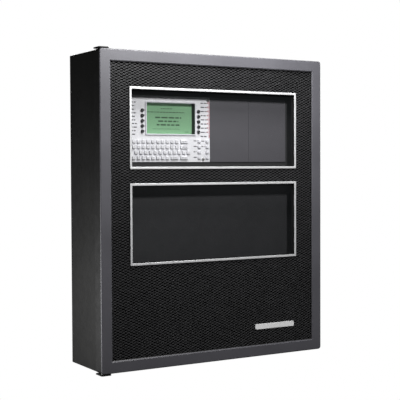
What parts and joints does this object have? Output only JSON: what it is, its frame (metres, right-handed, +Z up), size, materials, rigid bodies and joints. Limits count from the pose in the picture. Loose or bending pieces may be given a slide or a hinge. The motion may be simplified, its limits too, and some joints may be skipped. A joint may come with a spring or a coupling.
{
  "type": "fire alarm control panel",
  "caption": "Wall-mounted steel cabinet with a hinged, windowed mesh-faced door over a display with keys, blank plates, control boards and standby batteries.",
  "frame": {"origin": "on the back face of the cabinet, at the centre of the four wall bolts", "axes": "+X right as seen from the front, +Y into the wall, +Z up; the door is on the -Y side"},
  "size_m": [0.6128, 0.166, 0.7348],
  "materials": {
    "cabinet_black": "fine textured powder coat",
    "door_grey": "fine textured grey powder coat",
    "mesh_black": "semi-gloss black",
    "dress_black": "satin",
    "dress_grey": "satin",
    "plate_grey": "satin",
    "bright_steel": "zinc plated",
    "zinc_steel": "galvanised sheet",
    "board_green": "solder mask",
    "component_black": "moulded",
    "terminal_green": "moulded",
    "transformer_iron": "varnished laminations",
    "heat_sink_aluminium": "black anodised",
    "battery_case": "moulded",
    "wire_jacket": "smooth jacket",
    "ribbon_grey": "flat cable",
    "display_white": "printed overlay",
    "bezel_silver": "satin moulded",
    "lcd_green": "liquid crystal",
    "lamp_red": "tinted lens",
    "key_rubber": "moulded silicone",
    "soft_key_black": "moulded silicone",
    "function_key_grey": "moulded silicone",
    "lock_chrome": "polished",
    "lock_brass": "turned",
    "trim_silver": "satin anodised",
    "pane_clear": "clear acrylic",
    "nameplate_white": "plain"
  },
  "bodies": {
    "cabinet": {"backbox": "cabinet_black", "batteries": "battery_case", "battery_leads": "wire_jacket", "blank_plates": "plate_grey", "board_components": "component_black", "chassis_lower": "zinc_steel", "chassis_standoffs": "bright_steel", "chassis_upper": "zinc_steel", "display_circuit_board": "board_green", "display_faceplate": "display_white", "dress_panel_lower": "dress_grey", "dress_panel_upper": "dress_black", "heat_sink": "heat_sink_aluminium", "hinge_brackets": "cabinet_black", "hinge_pins": "bright_steel", "indicator_lamps": "lamp_red", "key_mat": "key_rubber", "lcd_bezel": "bezel_silver", "lcd_panel": "lcd_green", "lock_barrel": "lock_chrome", "lock_nut": "bright_steel", "loop_card": "board_green", "main_circuit_board": "board_green", "panel_screws": "bright_steel", "power_supply_board": "board_green", "ribbon_cable": "ribbon_grey", "sounder": "component_black", "spacers": "bright_steel", "terminal_blocks": "terminal_green", "transformer": "transformer_iron"},
    "door": {"door_frame": "door_grey", "door_skin": "cabinet_black", "mesh_panel": "mesh_black", "window_trims": "trim_silver", "window_panes": "pane_clear", "pane_retainers": "cabinet_black", "retainer_nuts": "bright_steel", "nameplate": "nameplate_white", "strike_bracket": "bright_steel", "hinge_blocks": "bright_steel"},
    "lock": {"lock_plug": "lock_brass", "lock_cam": "bright_steel"},
    "function_key_left_1_body": {"function_key_left_1": "function_key_grey"},
    "function_key_left_2_body": {"function_key_left_2": "function_key_grey"},
    "function_key_left_3_body": {"function_key_left_3": "function_key_grey"},
    "function_key_left_4_body": {"function_key_left_4": "function_key_grey"},
    "function_key_right_1_body": {"function_key_right_1": "function_key_grey"},
    "function_key_right_2_body": {"function_key_right_2": "function_key_grey"},
    "function_key_right_3_body": {"function_key_right_3": "function_key_grey"},
    "function_key_right_4_body": {"function_key_right_4": "function_key_grey"},
    "soft_key_left_1_body": {"soft_key_left_1": "soft_key_black"},
    "soft_key_left_2_body": {"soft_key_left_2": "soft_key_black"},
    "soft_key_left_3_body": {"soft_key_left_3": "soft_key_black"},
    "soft_key_left_4_body": {"soft_key_left_4": "soft_key_black"},
    "soft_key_left_5_body": {"soft_key_left_5": "soft_key_black"},
    "soft_key_right_1_body": {"soft_key_right_1": "soft_key_black"},
    "soft_key_right_2_body": {"soft_key_right_2": "soft_key_black"},
    "soft_key_right_3_body": {"soft_key_right_3": "soft_key_black"},
    "soft_key_right_4_body": {"soft_key_right_4": "soft_key_black"},
    "soft_key_right_5_body": {"soft_key_right_5": "soft_key_black"}
  },
  "joints": [
    {"name": "door_hinge", "type": "hinge", "parent": "cabinet", "child": "door", "pos_m": [-0.2984, -0.152, 0], "axis": [0, 0, -1], "range_deg": [0, 180]},
    {"name": "lock_turn", "type": "hinge", "parent": "cabinet", "child": "lock", "pos_m": [0.2998, -0.112, 0], "axis": [1, 0, 0], "range_deg": [0, 90]},
    {"name": "function_key_left_1_press", "type": "slide", "parent": "cabinet", "child": "function_key_left_1_body", "axis": [0, 1, 0], "range_m": [0, 0.0015], "stiffness_N_per_m": 800, "springref_m": -0.0005},
    {"name": "function_key_left_2_press", "type": "slide", "parent": "cabinet", "child": "function_key_left_2_body", "axis": [0, 1, 0], "range_m": [0, 0.0015], "stiffness_N_per_m": 800, "springref_m": -0.0005},
    {"name": "function_key_left_3_press", "type": "slide", "parent": "cabinet", "child": "function_key_left_3_body", "axis": [0, 1, 0], "range_m": [0, 0.0015], "stiffness_N_per_m": 800, "springref_m": -0.0005},
    {"name": "function_key_left_4_press", "type": "slide", "parent": "cabinet", "child": "function_key_left_4_body", "axis": [0, 1, 0], "range_m": [0, 0.0015], "stiffness_N_per_m": 800, "springref_m": -0.0005},
    {"name": "function_key_right_1_press", "type": "slide", "parent": "cabinet", "child": "function_key_right_1_body", "axis": [0, 1, 0], "range_m": [0, 0.0015], "stiffness_N_per_m": 800, "springref_m": -0.0005},
    {"name": "function_key_right_2_press", "type": "slide", "parent": "cabinet", "child": "function_key_right_2_body", "axis": [0, 1, 0], "range_m": [0, 0.0015], "stiffness_N_per_m": 800, "springref_m": -0.0005},
    {"name": "function_key_right_3_press", "type": "slide", "parent": "cabinet", "child": "function_key_right_3_body", "axis": [0, 1, 0], "range_m": [0, 0.0015], "stiffness_N_per_m": 800, "springref_m": -0.0005},
    {"name": "function_key_right_4_press", "type": "slide", "parent": "cabinet", "child": "function_key_right_4_body", "axis": [0, 1, 0], "range_m": [0, 0.0015], "stiffness_N_per_m": 800, "springref_m": -0.0005},
    {"name": "soft_key_left_1_press", "type": "slide", "parent": "cabinet", "child": "soft_key_left_1_body", "axis": [0, 1, 0], "range_m": [0, 0.0015], "stiffness_N_per_m": 800, "springref_m": -0.0005},
    {"name": "soft_key_left_2_press", "type": "slide", "parent": "cabinet", "child": "soft_key_left_2_body", "axis": [0, 1, 0], "range_m": [0, 0.0015], "stiffness_N_per_m": 800, "springref_m": -0.0005},
    {"name": "soft_key_left_3_press", "type": "slide", "parent": "cabinet", "child": "soft_key_left_3_body", "axis": [0, 1, 0], "range_m": [0, 0.0015], "stiffness_N_per_m": 800, "springref_m": -0.0005},
    {"name": "soft_key_left_4_press", "type": "slide", "parent": "cabinet", "child": "soft_key_left_4_body", "axis": [0, 1, 0], "range_m": [0, 0.0015], "stiffness_N_per_m": 800, "springref_m": -0.0005},
    {"name": "soft_key_left_5_press", "type": "slide", "parent": "cabinet", "child": "soft_key_left_5_body", "axis": [0, 1, 0], "range_m": [0, 0.0015], "stiffness_N_per_m": 800, "springref_m": -0.0005},
    {"name": "soft_key_right_1_press", "type": "slide", "parent": "cabinet", "child": "soft_key_right_1_body", "axis": [0, 1, 0], "range_m": [0, 0.0015], "stiffness_N_per_m": 800, "springref_m": -0.0005},
    {"name": "soft_key_right_2_press", "type": "slide", "parent": "cabinet", "child": "soft_key_right_2_body", "axis": [0, 1, 0], "range_m": [0, 0.0015], "stiffness_N_per_m": 800, "springref_m": -0.0005},
    {"name": "soft_key_right_3_press", "type": "slide", "parent": "cabinet", "child": "soft_key_right_3_body", "axis": [0, 1, 0], "range_m": [0, 0.0015], "stiffness_N_per_m": 800, "springref_m": -0.0005},
    {"name": "soft_key_right_4_press", "type": "slide", "parent": "cabinet", "child": "soft_key_right_4_body", "axis": [0, 1, 0], "range_m": [0, 0.0015], "stiffness_N_per_m": 800, "springref_m": -0.0005},
    {"name": "soft_key_right_5_press", "type": "slide", "parent": "cabinet", "child": "soft_key_right_5_body", "axis": [0, 1, 0], "range_m": [0, 0.0015], "stiffness_N_per_m": 800, "springref_m": -0.0005}
  ]
}
